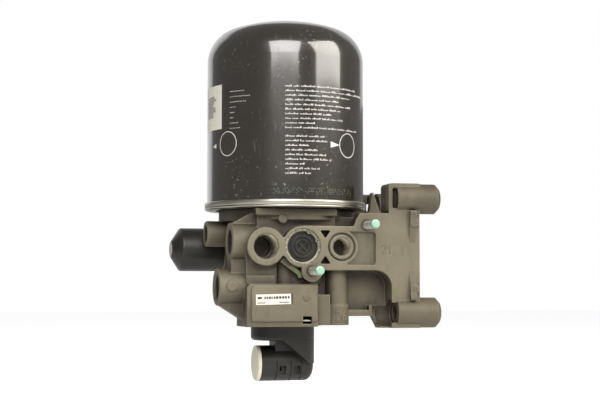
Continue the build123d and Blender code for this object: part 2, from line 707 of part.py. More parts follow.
def check_valve_cover():
    """Black cover with ring ribs, a cross in its middle and a guide tube behind."""
    disc = bar_y(CHECK_BORE_R - SLIP, 0, COVER_FRONT, COVER_BACK, PORT_Z)
    for outer, inner in ((12.4, 9.6), (8.0, 5.8)):
        disc -= tube(outer, inner, (0, COVER_FRONT, PORT_Z), (0, COVER_FRONT + 1.4, PORT_Z))
    disc -= bar_y(5.0, 0, COVER_FRONT, COVER_FRONT + 2.4, PORT_Z)
    for angle in (45, 135):
        arm = Pos(0, COVER_FRONT + 1.6, PORT_Z) * Rot(0, angle, 0) * Box(10.4, 1.6, 1.2)
        disc += arm
    disc += bar_y(GUIDE_R, 0, COVER_BACK, COVER_BACK + GUIDE_LENGTH, PORT_Z)
    disc -= bar_y(CHECK_STEM_R + SLIP, 0, COVER_BACK - 1, COVER_BACK + GUIDE_LENGTH, PORT_Z)
    groove = (COVER_FRONT + COVER_BACK) / 2 + 0.6
    disc -= tube(CHECK_BORE_R, CHECK_BORE_R - 1.6, (0, groove - 1, PORT_Z), (0, groove + 1, PORT_Z))
    return disc


def cover_seal():
    middle = (COVER_FRONT + COVER_BACK) / 2 + 0.6
    seal = Torus(CHECK_BORE_R - 0.85, 0.75)
    return to_minus_y(seal, 0, middle, PORT_Z)


def check_valve_poppet():
    disc = bar_y(CHECK_DISC_R, 0, POPPET_BACK, CHECK_SEAT_Y, PORT_Z)
    stem_end = COVER_BACK - 1 + CHECK_TRAVEL + LOOSE
    return disc + bar_y(CHECK_STEM_R, 0, stem_end, POPPET_BACK, PORT_Z)


def check_valve_spring():
    length = POPPET_BACK - COVER_BACK - 2 * SLIP
    spring = coil(CHECK_COIL_R, CHECK_WIRE_R, length, CHECK_TURNS)
    return to_minus_y(spring, 0, POPPET_BACK - SLIP, PORT_Z)


# Governor

PISTON_RIGHT = GOV_BORE_END - GOV_PISTON_GAP
PISTON_LEFT = PISTON_RIGHT - GOV_PISTON_H
SPRING_LEFT = PISTON_LEFT - GOV_SPRING_L


def governor_cap():
    """Black cap with a tapered end, hollow for the spring."""
    outside = [(0, 0), (CAP_R, 0), (CAP_R, GOV_BARREL_X - CAP_TIP_X - CAP_CONE),
               (CAP_TIP_R, GOV_BARREL_X - CAP_TIP_X), (0, GOV_BARREL_X - CAP_TIP_X)]
    deep = GOV_BARREL_X - CAP_TIP_X - CAP_CONE - CAP_WALL
    shell = turned(outside)
    shell = fillet(shell.edges().filter_by(GeomType.CIRCLE).sort_by(Axis.Z)[1], 2.5)
    shell -= bar_z(GOV_NOSE_R + SLIP, 0, 0, 0, deep)
    shell -= bar_z(SCREW_R + SLIP, 0, 0, deep, deep + CAP_CONE)
    return to_minus_x(shell, GOV_BARREL_X, GOV_Y, GOV_Z)


def governor_end_plug():
    return bar_x(CAP_TIP_R - 1.2, CAP_TIP_X - 0.6, CAP_TIP_X, GOV_Y, GOV_Z)


def adjusting_screw():
    tip = CAP_TIP_X + CAP_WALL + 0.5
    return bar_x(SCREW_R, tip, SPRING_LEFT - GOV_SEAT_H, GOV_Y, GOV_Z)


def spring_seat():
    disc = bar_x(GOV_SEAT_R, SPRING_LEFT - GOV_SEAT_H, SPRING_LEFT, GOV_Y, GOV_Z)
    return disc + bar_x(GOV_COIL_R - GOV_WIRE_R - LOOSE, SPRING_LEFT, SPRING_LEFT + 4, GOV_Y, GOV_Z)


def governor_piston():
    body = bar_x(GOV_BORE_R - SLIP, PISTON_LEFT, PISTON_RIGHT, GOV_Y, GOV_Z)
    body += bar_x(GOV_COIL_R - GOV_WIRE_R - LOOSE, PISTON_LEFT - 5, PISTON_LEFT, GOV_Y, GOV_Z)
    middle = (PISTON_LEFT + PISTON_RIGHT) / 2
    body -= tube(GOV_BORE_R, GOV_BORE_R - 2.2, (middle - 1.2, GOV_Y, GOV_Z), (middle + 1.2, GOV_Y, GOV_Z))
    return body


def governor_seal():
    middle = (PISTON_LEFT + PISTON_RIGHT) / 2
    return to_minus_x(Torus(GOV_BORE_R - 1.15, 1.0), middle, GOV_Y, GOV_Z)


def governor_spring():
    spring = coil(GOV_COIL_R, GOV_WIRE_R, GOV_SPRING_L - 2 * SLIP, GOV_TURNS)
    return to_minus_x(spring, PISTON_LEFT - SLIP, GOV_Y, GOV_Z)


# Purge valve and exhaust unit

PURGE_SEAT_LOW = PURGE_SEAT_TOP - PURGE_SEAT_H
PURGE_DISC_LOW = PURGE_SEAT_LOW - PURGE_DISC_H
PURGE_PISTON_LOW = PURGE_PISTON_TOP - PURGE_PISTON_H


def purge_piston():
    body = bar_z(PURGE_BORE_R - SLIP, EXHAUST_X, 0, PURGE_PISTON_LOW, PURGE_PISTON_TOP)
    middle = (PURGE_PISTON_LOW + PURGE_PISTON_TOP) / 2
    return body - ring(PURGE_BORE_R, PURGE_BORE_R - 1.8, middle - 1, middle + 1, EXHAUST_X)


def purge_seal():
    middle = (PURGE_PISTON_LOW + PURGE_PISTON_TOP) / 2
    return Pos(EXHAUST_X, 0, middle) * Torus(PURGE_BORE_R - 0.95, 0.85)


def purge_valve():
    stem = bar_z(PURGE_STEM_R, EXHAUST_X, 0, PURGE_SEAT_LOW, PURGE_PISTON_LOW)
    return stem + bar_z(PURGE_DISC_R, EXHAUST_X, 0, PURGE_DISC_LOW, PURGE_SEAT_LOW)


def purge_seat():
    return ring(EXHAUST_SPIGOT_R, PURGE_SEAT_R, PURGE_SEAT_LOW, PURGE_SEAT_TOP, EXHAUST_X)


def purge_spring():
    length = PURGE_DISC_LOW - EXHAUST_FLOOR - 2 * SLIP
    spring = coil(PURGE_COIL_R, PURGE_WIRE_R, length, PURGE_TURNS)
    return Pos(EXHAUST_X, 0, EXHAUST_FLOOR + SLIP) * spring


def exhaust_body():
    """Black unit under the casting, with the connector barrel below it."""
    spigot = bar_z(EXHAUST_SPIGOT_R, EXHAUST_X, 0, FOOT_Z, PURGE_SEAT_LOW)
    head = bar_z(EXHAUST_R, EXHAUST_X, 0, SHOULDER_Z, FOOT_Z)
    head = fillet(head.edges().filter_by(GeomType.CIRCLE).sort_by(Axis.Z)[0], 3)
    deep = bar_z(EXHAUST_R, EXHAUST_X, 0, SOCKET_Z, FOOT_Z)
    reach = EXHAUST_R + 2
    keep = front_plate(
        [(EXHAUST_X - 8, SHOULDER_Z + 2), (EXHAUST_X + reach, SHOULDER_Z + 2),
         (EXHAUST_X + reach, SOCKET_Z - 1), (EXHAUST_X + 20, SOCKET_Z - 1)], -reach, reach)
    barrel = bar_x(SOCKET_R, SOCKET_LEFT, SOCKET_RIGHT, 0, SOCKET_Z)
    barrel = fillet(barrel.edges().filter_by(GeomType.CIRCLE).sort_by(Axis.X)[-1], 7)
    neck = block(EXHAUST_X - 9, EXHAUST_X + 18, -11, 11, SOCKET_Z, SHOULDER_Z + 2)
    unit = spigot + head + (deep & keep) + barrel + neck
    for x in (-11.0, 1.5, 10.5):
        groove = tube(SOCKET_R + 1, SOCKET_R - 1.0, (x - 0.6, 0, SOCKET_Z), (x + 0.6, 0, SOCKET_Z))
        unit -= groove & block(-30, 30, -20, 20, SOCKET_Z - 20, SOCKET_Z + 2)
    for x in (-8.5, 4.0):
        window = block(x, x + 5.5, -SOCKET_R - 1, -SOCKET_R + 4.5, SOCKET_Z - 9, SOCKET_Z - 2)
        unit -= window
        unit -= mirror(window, Plane.XZ)
    unit -= bar_z(EXHAUST_CHAMBER_R, EXHAUST_X, 0, EXHAUST_FLOOR, PURGE_SEAT_LOW)
    for angle in range(50, 131, 20):
        slot = Pos(EXHAUST_X, 0, -101.5) * Rot(0, 0, angle) * Pos(22, 0, 0) * Box(16, 5, 6)
        unit -= slot
    unit -= bar_x(SOCKET_BORE_R, SOCKET_LEFT, SOCKET_LEFT + SOCKET_DEPTH, 0, SOCKET_Z)
    unit -= bar_z(HEATER_R + SLIP, HEATER_X, 0, HEATER_LOW, EXHAUST_FLOOR)
    lock_in = EXHAUST_SPIGOT_R - 1.2
    unit -= ring(EXHAUST_BORE_R + 1, lock_in, LOCK_Z - 1.1, LOCK_Z + 1.1, EXHAUST_X)
    unit -= ring(EXHAUST_BORE_R + 1, EXHAUST_SPIGOT_R - 2, -84.2, -81.8, EXHAUST_X)
    return unit


def exhaust_seal():
    return Pos(EXHAUST_X, 0, -83) * Torus(EXHAUST_SPIGOT_R - 0.95, 1.0)


def lock_wire():
    """Round wire that locks the exhaust unit, with its tail in the front slot."""
    mean = EXHAUST_SPIGOT_R + 0.1
    tail_x = SLOT_LEFT + 3.6 - EXHAUST_X
    start = math.degrees(math.atan2(-math.sqrt(mean ** 2 - tail_x ** 2), tail_x))
    arc = CenterArc((0, 0), mean, start, 300)
    plane = Plane(origin=arc @ 0, z_dir=arc % 0)
    hoop = sweep(plane * Circle(LOCK_WIRE_R), path=arc)
    tail = rod(LOCK_WIRE_R, (tail_x, (arc @ 0).Y + 0.5, 0), (tail_x, FACE_Y + 3, 0))
    return Pos(EXHAUST_X, 0, LOCK_Z) * (hoop + tail)


def connector_plug():
    """Pale cap in the connector socket, with a slightly domed face."""
    face = bar_x(SOCKET_R, SOCKET_LEFT - PLUG_FACE, SOCKET_LEFT, 0, SOCKET_Z)
    face = fillet(face.edges().filter_by(GeomType.CIRCLE).sort_by(Axis.X)[0], PLUG_CROWN)
    spigot = bar_x(SOCKET_BORE_R - SLIP, SOCKET_LEFT, SOCKET_LEFT + PLUG_SPIGOT, 0, SOCKET_Z)
    hollow = bar_x(SOCKET_BORE_R - 3, SOCKET_LEFT, SOCKET_LEFT + PLUG_SPIGOT, 0, SOCKET_Z)
    return face + spigot - hollow


def connector_pins():
    floor = SOCKET_LEFT + SOCKET_DEPTH
    pins = []
    for side in (-1, 1):
        pins.append(bar_x(PIN_R, floor - PIN_LENGTH, floor, side * PIN_PITCH / 2, SOCKET_Z))
    return Compound(children=pins)


def heater_element():
    return bar_z(HEATER_R, HEATER_X, 0, HEATER_LOW, HEATER_TOP)


PARTS = {
    "housing": housing,
    "canister": canister,
    "seam_ring": seam_ring,
    "base_plate": base_plate,
    "cartridge_gasket": cartridge_gasket,
    "desiccant_cup": desiccant_cup,
    "lower_sieve": lower_sieve,
    "desiccant_bed": desiccant_bed,
    "upper_sieve": upper_sieve,
    "bed_spring": bed_spring,
    "oil_filter_ring": oil_filter_ring,
    "spigot_seal": spigot_seal,
    "upper_stud": lambda: stud(UPPER_STUD_X, UPPER_STUD_Z),
    "lower_stud": lambda: stud(LOWER_STUD_X, LOWER_STUD_Z),
    "snap_ring": snap_ring,
    "check_valve_cover": check_valve_cover,
    "cover_seal": cover_seal,
    "check_valve_poppet": check_valve_poppet,
    "check_valve_spring": check_valve_spring,
    "governor_cap": governor_cap,
    "governor_end_plug": governor_end_plug,
    "adjusting_screw": adjusting_screw,
    "spring_seat": spring_seat,
    "governor_piston": governor_piston,
    "governor_seal": governor_seal,
    "governor_spring": governor_spring,
    "purge_piston": purge_piston,
    "purge_seal": purge_seal,
    "purge_valve": purge_valve,
    "purge_seat": purge_seat,
    "purge_spring": purge_spring,
    "exhaust_body": exhaust_body,
    "exhaust_seal": exhaust_seal,
    "lock_wire": lock_wire,
    "connector_plug": connector_plug,
    "connector_pins": connector_pins,
    "heater_element": heater_element,
}

os.makedirs("parts", exist_ok=True)
to_mount = Pos(-MOUNT_X, -BOSS_Y, -ORIGIN_Z)
for name, make in PARTS.items():
    export_step(to_mount * make(), f"parts/{name}.step")
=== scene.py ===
import json
import math
import random

import bmesh
import bpy
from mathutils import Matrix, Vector


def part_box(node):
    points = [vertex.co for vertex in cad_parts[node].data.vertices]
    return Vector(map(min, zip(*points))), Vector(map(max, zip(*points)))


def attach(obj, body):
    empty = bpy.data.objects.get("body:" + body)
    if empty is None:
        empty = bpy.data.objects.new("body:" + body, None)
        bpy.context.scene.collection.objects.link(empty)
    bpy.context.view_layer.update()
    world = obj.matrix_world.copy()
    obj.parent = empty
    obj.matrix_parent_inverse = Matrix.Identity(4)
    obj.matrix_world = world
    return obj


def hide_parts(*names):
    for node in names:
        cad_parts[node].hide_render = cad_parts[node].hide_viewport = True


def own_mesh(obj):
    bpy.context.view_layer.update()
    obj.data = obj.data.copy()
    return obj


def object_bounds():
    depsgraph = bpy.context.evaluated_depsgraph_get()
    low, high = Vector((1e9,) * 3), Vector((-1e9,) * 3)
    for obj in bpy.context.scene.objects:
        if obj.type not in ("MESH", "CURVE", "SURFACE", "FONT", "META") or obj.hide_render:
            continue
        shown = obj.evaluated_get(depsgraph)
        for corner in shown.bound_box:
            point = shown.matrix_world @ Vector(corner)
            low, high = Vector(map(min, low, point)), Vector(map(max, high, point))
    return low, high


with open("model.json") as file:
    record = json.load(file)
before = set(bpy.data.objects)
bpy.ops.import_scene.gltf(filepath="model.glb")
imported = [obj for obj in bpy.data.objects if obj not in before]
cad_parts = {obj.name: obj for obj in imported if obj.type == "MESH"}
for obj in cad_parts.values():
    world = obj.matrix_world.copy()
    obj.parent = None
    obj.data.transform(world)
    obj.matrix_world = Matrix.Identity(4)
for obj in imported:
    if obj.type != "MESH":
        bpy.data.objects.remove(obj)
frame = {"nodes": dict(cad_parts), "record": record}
cad_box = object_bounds()

# Sizes here are millimetres about the cartridge axis, with zero height at its seat.
MM = 0.001
BODY = "dryer"
can_low, can_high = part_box("canister")
AXIS_X = (can_low[0] + can_high[0]) / 2
AXIS_Y = (can_low[1] + can_high[1]) / 2
SEAT_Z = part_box("cartridge_gasket")[0][2]
CAN_R = (can_high[0] - can_low[0]) / 2 / MM
FACE_Y = -60.0
VIEW_TURN = 15.0


def here(x, y, z):
    """Point given in millimetres about the cartridge axis, in the frame."""
    return Vector((AXIS_X + x * MM, AXIS_Y + y * MM, SEAT_Z + z * MM))


def linear(red, green, blue):
    """Screen colour from 0 to 255 as the linear colour that shows as it."""
    out = []
    for value in (red, green, blue):
        v = value / 255
        out.append(v / 12.92 if v <= 0.04045 else ((v + 0.055) / 1.055) ** 2.4)
    return (*out, 1.0)


def on_shell(arc, height, lift):
    """Point on the shell: arc in mm to the right of its middle as the camera sees it."""
    turn = math.radians(-90 - VIEW_TURN) + arc / CAN_R
    radius = CAN_R + lift
    return here(radius * math.cos(turn), radius * math.sin(turn), height)


# Materials

class Shader:
    """A material's node tree with short ways to add nodes."""

    def __init__(self, name):
        self.material = bpy.data.materials.new(name)
        self.material.use_nodes = True
        self.tree = self.material.node_tree
        self.tree.nodes.clear()
        self.surface = self.add("ShaderNodeBsdfPrincipled")
        self.output = self.add("ShaderNodeOutputMaterial")
        self.tree.links.new(self.surface.outputs[0], self.output.inputs[0])
        self.place = self.add("ShaderNodeTexCoord").outputs["Object"]

    def add(self, kind, inputs=None, **settings):
        made = self.tree.nodes.new(kind)
        for key, value in settings.items():
            setattr(made, key, value)
        for key, value in (inputs or {}).items():
            self.put(made.inputs[key], value)
        return made

    def put(self, socket, value):
        if isinstance(value, bpy.types.NodeSocket):
            self.tree.links.new(value, socket)
        else:
            socket.default_value = value

    def set(self, **inputs):
        for key, value in inputs.items():
            self.put(self.surface.inputs[key.replace("_", " ")], value)

    def stretched(self, scale):
        return self.add("ShaderNodeMapping", {"Vector": self.place, "Scale": scale}).outputs[0]

    def noise(self, scale, detail=2.0, rough=0.5, vector=None):
        values = {"Vector": vector or self.place, "Scale": scale, "Detail": detail, "Roughness": rough}
        return self.add("ShaderNodeTexNoise", values).outputs[0]

    def remap(self, value, low, high, to_low=0.0, to_high=1.0):
        values = {"Value": value, "From Min": low, "From Max": high, "To Min": to_low, "To Max": to_high}
        return self.add("ShaderNodeMapRange", values).outputs[0]

    def math(self, operation, first, second=0.0):
        return self.add("ShaderNodeMath", {0: first, 1: second}, operation=operation).outputs[0]

    def mix(self, factor, first, second, blend="MIX"):
        made = self.add("ShaderNodeMix", data_type="RGBA", blend_type=blend)
        self.put(made.inputs[0], factor)
        self.put(made.inputs[6], first)
        self.put(made.inputs[7], second)
        return made.outputs[2]

    def bump(self, height, distance, strength=1.0, normal=None):
        values = {"Height": height, "Distance": distance, "Strength": strength}
        if normal is not None:
            values["Normal"] = normal
        return self.add("ShaderNodeBump", values).outputs[0]

    def crevice(self, distance, low=0.35, high=0.95):
        """One in the open, falling to zero deep in corners."""
        shade = self.add("ShaderNodeAmbientOcclusion", {"Distance": distance}, samples=8)
        return self.remap(shade.outputs["AO"], low, high)

    def edge(self, radius, gain):
        """One on sharp outer edges, zero on flat faces."""
        soft = self.add("ShaderNodeBevel", {"Radius": radius}, samples=4).outputs[0]
        flat = self.add("ShaderNodeNewGeometry").outputs["Normal"]
        dot = self.add("ShaderNodeVectorMath", {0: soft, 1: flat}, operation="DOT_PRODUCT").outputs["Value"]
        return self.remap(dot, 1.0, 1.0 - gain)

    def near(self, value, centre, width):
        return self.add(
            "ShaderNodeMath", {0: value, 1: centre, 2: width}, operation="COMPARE").outputs[0]


def cast_alloy():
    """Shot-blasted casting: warm grey, painted shade and dirt in its corners, painted shade under the cartridge,
    darker towards the bottom, brighter where it is machined.
    """
    s = Shader("cast_alloy")
    mottle = s.noise(26.0, 4.0, 0.6)
    patch = s.noise(9.0, 2.0)
    grain = s.noise(1500.0, 3.0, 0.6)
    tone = s.mix(s.remap(mottle, 0.40, 0.60), linear(94, 88, 71), linear(113, 106, 87))
    tone = s.mix(s.remap(patch, 0.4, 0.62, 0.0, 0.55), tone, linear(92, 83, 67))
    tone = s.mix(s.remap(grain, 0.3, 0.7, 0.0, 0.34), tone, linear(74, 69, 56))
    axes = s.add("ShaderNodeSeparateXYZ", {0: s.place})
    face = s.near(axes.outputs[1], here(0, FACE_Y, 0).y, 0.00012)
    rims = face
    for x in (-58.0, -68.0, -70.0):
        rims = s.math("MAXIMUM", rims, s.near(axes.outputs[0], here(x, 0, 0).x, 0.00012))
    tone = s.mix(s.math("MULTIPLY", rims, 0.30), tone, linear(128, 121, 101))
    # Painted shade: the top of the casting, under the cartridge, darkens towards the seat.
    painted_shade_under_can = s.remap(axes.outputs[2], here(0, 0, -15.0).z, here(0, 0, 2.0).z, 0.0, 0.45)
    tone = s.mix(painted_shade_under_can, tone, linear(60, 52, 40))
    # Darker towards the bottom of the lower block.
    tone = s.mix(s.remap(axes.outputs[2], here(0, 0, -70.0).z, here(0, 0, -94.0).z, 0.0, 0.35), tone, linear(82, 74, 58))
    stain = s.remap(s.noise(1.0, 4.0, 0.7, s.stretched((140.0, 140.0, 45.0))), 0.55, 0.72, 0.0, 0.45)
    tone = s.mix(stain, tone, linear(66, 57, 43))
    # Painted shade with dirt: corners and recesses darken towards dark brown.
    free_of_shade_and_dirt = s.crevice(0.018, 0.36, 0.97)
    tone = s.mix(free_of_shade_and_dirt, linear(46, 40, 30), tone)
    tone = s.mix(s.math("MULTIPLY", s.edge(0.0014, 0.12), 0.35), tone, linear(158, 150, 129))
    soft = s.add("ShaderNodeBevel", {"Radius": 0.0019}, samples=8).outputs[0]
    pits = s.bump(s.noise(560.0, 3.0, 0.6), 0.00026, 0.8, soft)
    skin = s.bump(s.noise(70.0, 3.0, 0.5), 0.0008, 0.5, pits)
    s.set(Base_Color=tone, Metallic=0.18, Roughness=s.remap(grain, 0.3, 0.7, 0.46, 0.62), Normal=skin)
    return s.material


def black_enamel():
    """Gloss black paint on the shell, with fine ripple, scuffs and hair scratches."""
    s = Shader("black_enamel")
    region = s.remap(s.noise(16.0, 3.0, 0.6), 0.44, 0.60)
    flecks = s.remap(s.noise(330.0, 5.0, 0.7), 0.61, 0.67)
    scuff = s.math("MULTIPLY", region, flecks)
    lines = s.remap(s.noise(1.0, 3.0, 0.75, s.stretched((700.0, 700.0, 60.0))), 0.63, 0.68)
    marks = s.math("MULTIPLY", lines, s.remap(s.noise(24.0, 2.0), 0.52, 0.62))
    worn = s.math("MAXIMUM", scuff, s.math("MULTIPLY", marks, 0.5))
    axes = s.add("ShaderNodeSeparateXYZ", {0: s.place})
    rubbed = on_shell(-7.0, 120.0, 0.0)
    across = s.math("ABSOLUTE", s.math("SUBTRACT", axes.outputs[0], rubbed.x))
    beside = s.math("ABSOLUTE", s.math("SUBTRACT", axes.outputs[2], rubbed.z))
    strip = s.math("MULTIPLY", s.remap(across, 0.006, 0.002), s.remap(beside, 0.034, 0.020))
    strip = s.math("MULTIPLY", strip, s.remap(axes.outputs[1], rubbed.y + 0.02, rubbed.y + 0.01))
    rub = s.math("MULTIPLY", strip, s.remap(s.noise(230.0, 5.0, 0.7), 0.50, 0.58))
    tone = s.mix(s.remap(s.noise(30.0, 3.0), 0.3, 0.7), linear(34, 31, 26), linear(43, 39, 33))
    tone = s.mix(s.math("MULTIPLY", worn, 0.6), tone, linear(150, 146, 138))
    worn = s.math("MAXIMUM", worn, rub)
    ripple = s.bump(s.noise(150.0, 2.0), 0.00035, 0.08)
    ripple = s.bump(s.noise(1400.0, 2.0), 0.0001, 0.06, ripple)
    gloss = s.remap(s.noise(12.0, 3.0), 0.3, 0.7, 0.20, 0.30)
    s.set(Base_Color=tone, Roughness=s.math("MAXIMUM", gloss, s.math("MULTIPLY", worn, 0.5)), Normal=ripple)
    s.set(Coat_Weight=1.0, Coat_Roughness=0.09, Coat_IOR=1.72)
    return s.material


def plated(name, colour, rough, streak=(60.0, 60.0, 2600.0), depth=0.00008):
    """Plated steel with streaks in one direction, and painted shade in its corners."""
    s = Shader(name)
    lines = s.noise(1.0, 3.0, 0.6, s.stretched(streak))
    cloud = s.noise(45.0, 3.0, 0.6)
    darker = tuple(c * 0.72 for c in colour[:3]) + (1.0,)
    tone = s.mix(s.remap(cloud, 0.35, 0.7, 0.0, 0.7), colour, darker)
    # Painted shade: corners and recesses darken towards dark grey.
    tone = s.mix(s.crevice(0.005, 0.2, 0.9), linear(70, 66, 58), tone)
    s.set(
        Base_Color=tone, Metallic=1.0, Roughness=s.remap(lines, 0.3, 0.7, rough - 0.07, rough + 0.10),
        Normal=s.bump(lines, depth, 0.35))
    return s.material


def moulded(name, colour, rough, grain_scale=1100.0, dust=0.12, shine=0.5):
    """Moulded plastic or rubber with fine grain and a little dust."""
    s = Shader(name)
    cloud = s.noise(40.0, 4.0, 0.6)
    grain = s.noise(grain_scale, 2.0)
    pale = linear(150, 145, 136)
    tone = s.mix(s.remap(cloud, 0.35, 0.75, 0.0, dust), colour, pale)
    tone = s.mix(s.math("MULTIPLY", s.edge(0.0007, 0.12), dust), tone, pale)
    soft = s.add("ShaderNodeBevel", {"Radius": 0.0006}, samples=4).outputs[0]
    s.set(
        Base_Color=tone, Roughness=s.remap(cloud, 0.3, 0.7, rough - 0.05, rough + 0.08),
        Specular_IOR_Level=shine, Normal=s.bump(grain, 0.00012, 0.25, soft))
    return s.material


def beads():
    s = Shader("desiccant_beads")
    cells = s.add("ShaderNodeTexVoronoi", {"Vector": s.place, "Scale": 420.0}).outputs[0]
    tone = s.mix(s.remap(cells, 0.1, 0.7), linear(232, 228, 216), linear(140, 134, 120))
    s.set(Base_Color=tone, Roughness=0.9, Normal=s.bump(cells, 0.001, -0.8))
    return s.material


def fibre():
    s = Shader("filter_fibre")
    strands = s.noise(1.0, 5.0, 0.7, s.stretched((500.0, 500.0, 1400.0)))
    tone = s.mix(s.remap(strands, 0.3, 0.7), linear(208, 200, 176), linear(150, 142, 118))
    s.set(Base_Color=tone, Roughness=0.95, Normal=s.bump(strands, 0.0006, 0.8))
    return s.material


def paint(name, colour, rough=0.45, wear=0.0, under=(200, 196, 188)):
    """Thin paint or ink, worn through in small spots."""
    s = Shader(name)
    spots = s.remap(s.noise(700.0, 4.0, 0.65), 0.60, 0.68)
    cloud = s.remap(s.noise(160.0, 3.0), 0.3, 0.7, 0.0, 0.25)
    darker = tuple(c * 0.7 for c in colour[:3]) + (1.0,)
    tone = s.mix(cloud, colour, darker)
    tone = s.mix(s.math("MULTIPLY", spots, wear), tone, linear(*under))
    s.set(Base_Color=tone, Roughness=rough, Normal=s.bump(s.noise(420.0, 2.0), 0.0001, 0.3))
    return s.material


MATERIALS = {
    "cast_alloy": cast_alloy(),
    "black_enamel": black_enamel(),
    "bright_zinc": plated("bright_zinc", linear(190, 187, 174), 0.32),
    "plated_steel": plated("plated_steel", linear(205, 202, 194), 0.32, (400.0, 400.0, 400.0)),
    "zinc_white": plated("zinc_white", linear(240, 238, 232), 0.36, (300.0, 300.0, 300.0)),
    "spring_steel": plated("spring_steel", linear(232, 228, 208), 0.24, (500.0, 500.0, 500.0)),
    "sheet_alloy": plated("sheet_alloy", linear(215, 215, 212), 0.36, (300.0, 300.0, 900.0)),
    "turned_brass": plated("turned_brass", linear(214, 186, 120), 0.30, (900.0, 300.0, 300.0)),
    "black_rubber": moulded("black_rubber", linear(28, 27, 25), 0.68, 800.0, 0.08),
    "black_plastic": moulded("black_plastic", linear(26, 24, 20), 0.34, 1100.0, 0.05, 0.45),
    "grey_plastic": moulded("grey_plastic", linear(168, 165, 160), 0.45, 1100.0, 0.15),
    "cream_plastic": moulded("cream_plastic", linear(224, 218, 198), 0.42, 900.0, 0.08),
    "desiccant_beads": beads(),
    "filter_fibre": fibre(),
}
for part in frame["record"]["subparts"]:
    mesh = frame["nodes"][part["node"]].data
    mesh.materials.clear()
    mesh.materials.append(MATERIALS[part["material_slot"]])

WHITE_INK = paint("white_ink", linear(206, 204, 198), 0.5, 0.5, (60, 58, 54))
GREEN_PAINT = paint("green_paint", linear(140, 182, 158), 0.5, 0.40, (190, 204, 194))
LABEL_GREY = paint("label_grey", linear(150, 148, 141), 0.5, 0.75, (206, 203, 192))
# Painted shade: dark paint for threads deep in bores.
PAINTED_BORE_SHADE = paint("painted_bore_shade", linear(30, 27, 22), 0.7, 0.2, (58, 52, 42))
GREEN_SMEAR = paint("green_smear", linear(88, 104, 60), 0.6, 0.8, (104, 97, 78))
LABEL_STOCK = paint("label_stock", linear(214, 211, 198), 0.5, 0.15, (190, 186, 172))
MACHINED = plated("machined_alloy", linear(226, 220, 204), 0.30, (500.0, 500.0, 500.0))
RIM_ALLOY = plated("rim_alloy", linear(160, 154, 134), 0.5, (500.0, 500.0, 500.0))
DARK_INK = paint("dark_ink", linear(52, 50, 46), 0.5, 0.2, (120, 116, 108))
STAMP_INK = paint("stamp_ink", linear(76, 88, 68), 0.5, 0.6, (40, 38, 35))


# Added pieces

def piece(name, vertices, faces, material, body=BODY, smooth=True):
    """New mesh piece that rides on a body."""
    mesh = bpy.data.meshes.new(name)
    mesh.from_pydata(vertices, [], faces)
    mesh.update()
    mesh.polygons.foreach_set("use_smooth", [smooth] * len(mesh.polygons))
    made = bpy.data.objects.new(name, mesh)
    bpy.context.scene.collection.objects.link(made)
    mesh.materials.append(material)
    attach(made, body)
    return made


def grid_faces(rows, columns, closed=False):
    """Quads of a grid of points, row by row."""
    faces = []
    across = columns if closed else columns - 1
    for row in range(rows - 1):
        for column in range(across):
            after = (column + 1) % columns
            a = row * columns + column
            b = row * columns + after
            faces.append((a, b, b + columns, a + columns))
    return faces


class Sheet:
    """Collects small raised patches and joins them into one piece."""

    def __init__(self):
        self.vertices = []
        self.faces = []

    def slab(self, low, high, across):
        """Closed thin slab from two matching loops of points, wound the same way."""
        first = len(self.vertices)
        self.vertices += low + high
        rows = len(low) // across
        total = len(low)
        for row in range(rows - 1):
            for column in range(across - 1):
                a = first + row * across + column
                self.faces.append((a + total, a + total + 1, a + total + across + 1, a + total + across))
                self.faces.append((a, a + across, a + across + 1, a + 1))
        border = [(0, c) for c in range(across)] + [(r, across - 1) for r in range(1, rows)]
        border += [(rows - 1, c) for c in range(across - 2, -1, -1)] + [(r, 0) for r in range(rows - 2, 0, -1)]
        ring = [first + r * across + c for r, c in border]
        for i, a in enumerate(ring):
            b = ring[(i + 1) % len(ring)]
            self.faces.append((a, b, b + total, a + total))


INK_LIFT = 0.06


def shell_patch(sheet, arc, height, width, tall):
    """Rectangle of ink that follows the shell."""
    across = max(2, int(width / 2.5) + 2)
    low, high = [], []
    for row in range(2):
        for column in range(across):
            a = arc + width * column / (across - 1)
            z = height + tall * (row - 0.5)
            low.append(on_shell(a, z, -0.03))
            high.append(on_shell(a, z, INK_LIFT))
    sheet.slab(low, high, across)


def shell_ring(sheet, arc, height, radius, width):
    """Printed ring on the shell."""
    steps = 48
    low, high = [], []
    for step in range(steps + 1):
        angle = 2 * math.pi * step / steps
        for r in (radius - width, radius):
            a = arc + r * math.cos(angle)
            z = height + r * math.sin(angle)
            low.append(on_shell(a, z, -0.03))
            high.append(on_shell(a, z, INK_LIFT))
    sheet.slab(low, high, 2)


def shell_triangle(sheet, arc, height, length, tall, steps=6):
    """Printed triangle that points to the right, or to the left with a negative length."""
    low, high = [], []
    for step in range(steps + 1):
        part = step / steps
        for side in (-0.5, 0.5):
            a = arc + length * part
            z = height + side * tall * (1.0 - part * 0.98)
            low.append(on_shell(a, z, -0.03))
            high.append(on_shell(a, z, INK_LIFT))
    sheet.slab(low, high, 2)


